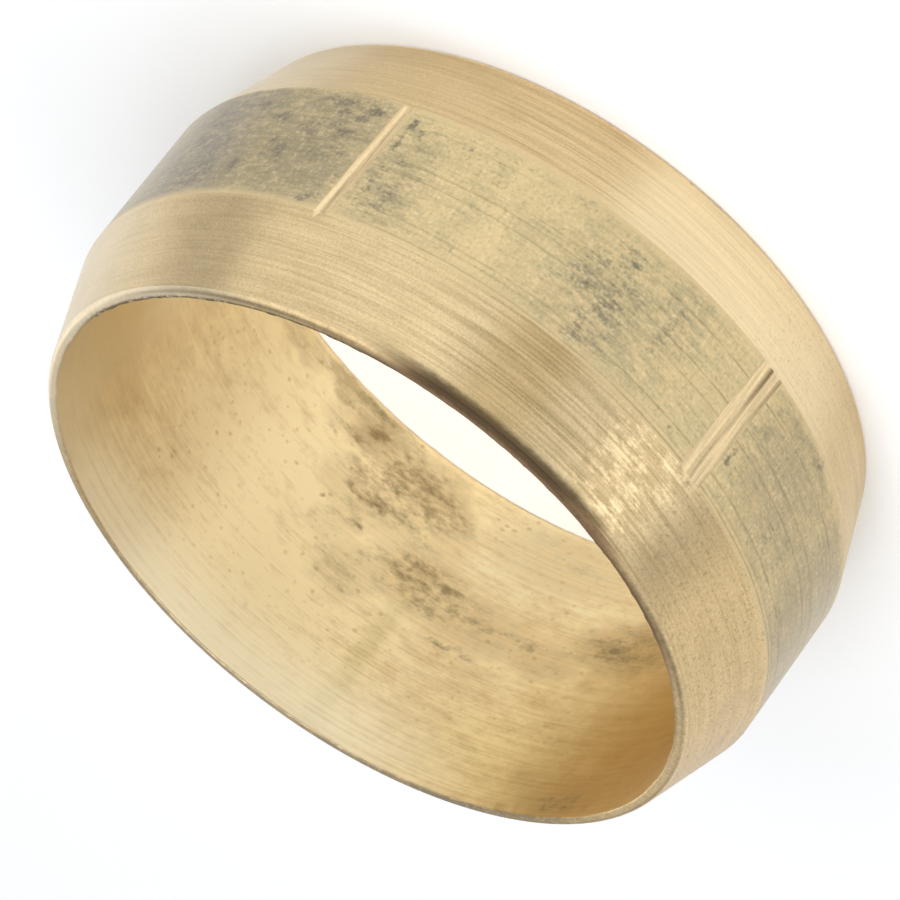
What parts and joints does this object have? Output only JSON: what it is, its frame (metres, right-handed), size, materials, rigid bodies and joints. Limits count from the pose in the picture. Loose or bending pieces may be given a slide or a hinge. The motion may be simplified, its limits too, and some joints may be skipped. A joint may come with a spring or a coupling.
{
  "type": "compression olive",
  "caption": "Short brass ring with a plain bore, a cone towards each end and a plain middle band, squeezed by a nut onto a pipe to seal a compression joint.",
  "frame": {"origin": "middle of the bottom land, where the ring's axis meets the surface that it stands on", "axes": "+Z along the bore axis, upwards; the marked side of the band faces -Y"},
  "size_m": [0.017, 0.017, 0.0075],
  "materials": {
    "turned_brass": "satin turned brass, with a dull stained band round the middle"
  },
  "bodies": {
    "root": {"olive": "turned_brass"}
  },
  "joints": []
}
